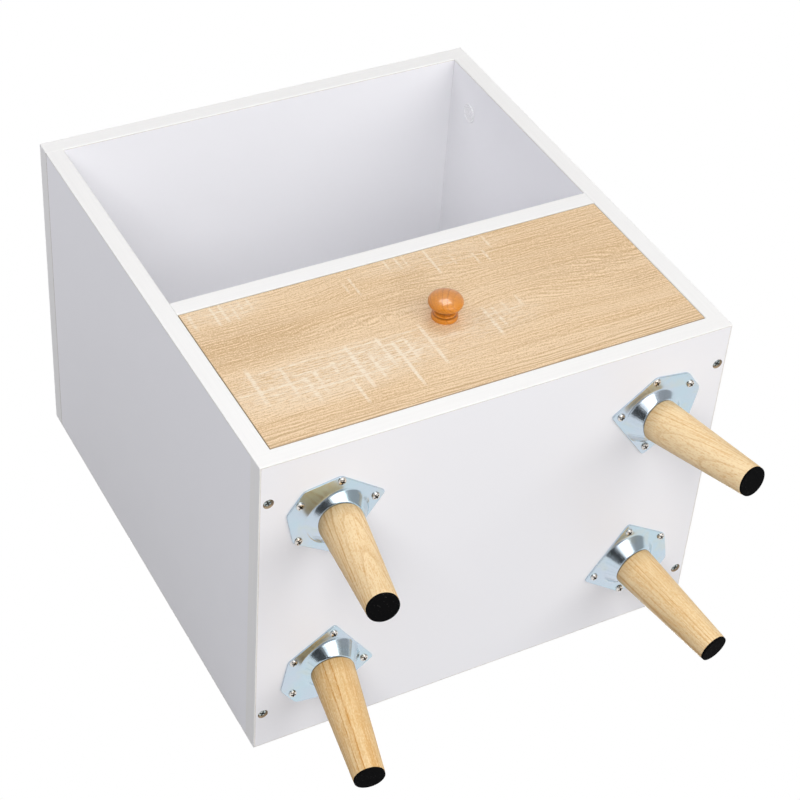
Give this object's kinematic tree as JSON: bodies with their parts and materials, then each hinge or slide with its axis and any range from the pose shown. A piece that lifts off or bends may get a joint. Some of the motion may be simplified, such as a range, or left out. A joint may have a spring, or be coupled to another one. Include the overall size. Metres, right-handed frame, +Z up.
{
  "type": "nightstand",
  "caption": "Small bedside cabinet with an open compartment above a drawer with a turned knob, on splayed, tapered wooden legs screwed to pressed plates.",
  "frame": {"origin": "on the floor, under the middle of the outer box, whose depth runs from the knob's crown to the back edges of the boards", "axes": "+X to the right as seen from the front, +Y to the back, +Z up"},
  "size_m": [0.4, 0.3208, 0.5432],
  "materials": {
    "white_board": "satin white melamine on chipboard",
    "white_sheet": "white-faced hardboard",
    "oak_face": "light oak foil, matt",
    "leg_wood": "bare pale wood, satin",
    "knob_wood": "honey lacquer, glossy",
    "dowel_wood": "bare beech",
    "zinc_plate": "bright blue zinc plating",
    "bright_steel": "bright zinc plating",
    "cam_metal": "bare zinc casting",
    "white_plastic": "matt",
    "rail_coat": "white powder coat",
    "black_felt": "matt felt"
  },
  "bodies": {
    "carcass": {"back_panel": "white_sheet", "bottom_panel": "white_board", "bottom_panel_screws": "bright_steel", "cabinet_axle_left": "bright_steel", "cabinet_axle_right": "bright_steel", "cabinet_rail_left": "rail_coat", "cabinet_rail_right": "rail_coat", "cabinet_rail_screws": "bright_steel", "cam_cover_caps": "white_plastic", "carcass_dowels": "dowel_wood", "foot_pad_back_left": "black_felt", "foot_pad_back_right": "black_felt", "foot_pad_front_left": "black_felt", "foot_pad_front_right": "black_felt", "left_side_panel": "white_board", "leg_back_left": "leg_wood", "leg_back_right": "leg_wood", "leg_front_left": "leg_wood", "leg_front_right": "leg_wood", "leg_hanger_bolts": "bright_steel", "leg_plate_back_left": "zinc_plate", "leg_plate_back_right": "zinc_plate", "leg_plate_front_left": "zinc_plate", "leg_plate_front_right": "zinc_plate", "leg_plate_nuts": "bright_steel", "leg_plate_screws": "bright_steel", "right_side_panel": "white_board", "shelf_cam_bolts": "bright_steel", "shelf_cam_locks": "cam_metal", "shelf_panel": "white_board", "top_cam_bolts": "bright_steel", "top_cam_locks": "cam_metal", "top_panel": "white_board"},
    "drawer": {"drawer_axle_left": "bright_steel", "drawer_axle_right": "bright_steel", "drawer_back": "white_board", "drawer_back_screws": "bright_steel", "drawer_bottom": "white_sheet", "drawer_cam_bolts": "bright_steel", "drawer_cam_locks": "cam_metal", "drawer_dowels": "dowel_wood", "drawer_front": "oak_face", "drawer_rail_left": "rail_coat", "drawer_rail_right": "rail_coat", "drawer_rail_screws": "bright_steel", "drawer_side_left": "white_board", "drawer_side_right": "white_board", "knob": "knob_wood", "knob_screw": "bright_steel"},
    "cabinet_roller_left": {"cabinet_roller_left": "white_plastic"},
    "cabinet_roller_right": {"cabinet_roller_right": "white_plastic"},
    "drawer_roller_left": {"drawer_roller_left": "white_plastic"},
    "drawer_roller_right": {"drawer_roller_right": "white_plastic"}
  },
  "joints": [
    {"name": "drawer_slide", "type": "slide", "parent": "carcass", "child": "drawer", "axis": [0, -1, 0], "range_m": [0, 0.18]},
    {"name": "cabinet_roller_left_spin", "type": "hinge", "parent": "carcass", "child": "cabinet_roller_left", "pos_m": [-0.17975, -0.11061, 0.14265], "axis": [1, 0, 0], "range_deg": [0, 1215]},
    {"name": "cabinet_roller_right_spin", "type": "hinge", "parent": "carcass", "child": "cabinet_roller_right", "pos_m": [0.17975, -0.11061, 0.14265], "axis": [1, 0, 0], "range_deg": [0, 1215]},
    {"name": "drawer_roller_left_spin", "type": "hinge", "parent": "drawer", "child": "drawer_roller_left", "pos_m": [-0.17975, 0.11339, 0.13995], "axis": [1, 0, 0], "range_deg": [0, 1215]},
    {"name": "drawer_roller_right_spin", "type": "hinge", "parent": "drawer", "child": "drawer_roller_right", "pos_m": [0.17975, 0.11339, 0.13995], "axis": [1, 0, 0], "range_deg": [0, 1215]}
  ],
  "couplings": [
    {"joint": "cabinet_roller_left_spin", "follows": "drawer_slide", "rad_per_m": 117.65},
    {"joint": "cabinet_roller_right_spin", "follows": "drawer_slide", "rad_per_m": 117.65},
    {"joint": "drawer_roller_left_spin", "follows": "drawer_slide", "rad_per_m": 117.65},
    {"joint": "drawer_roller_right_spin", "follows": "drawer_slide", "rad_per_m": 117.65}
  ]
}
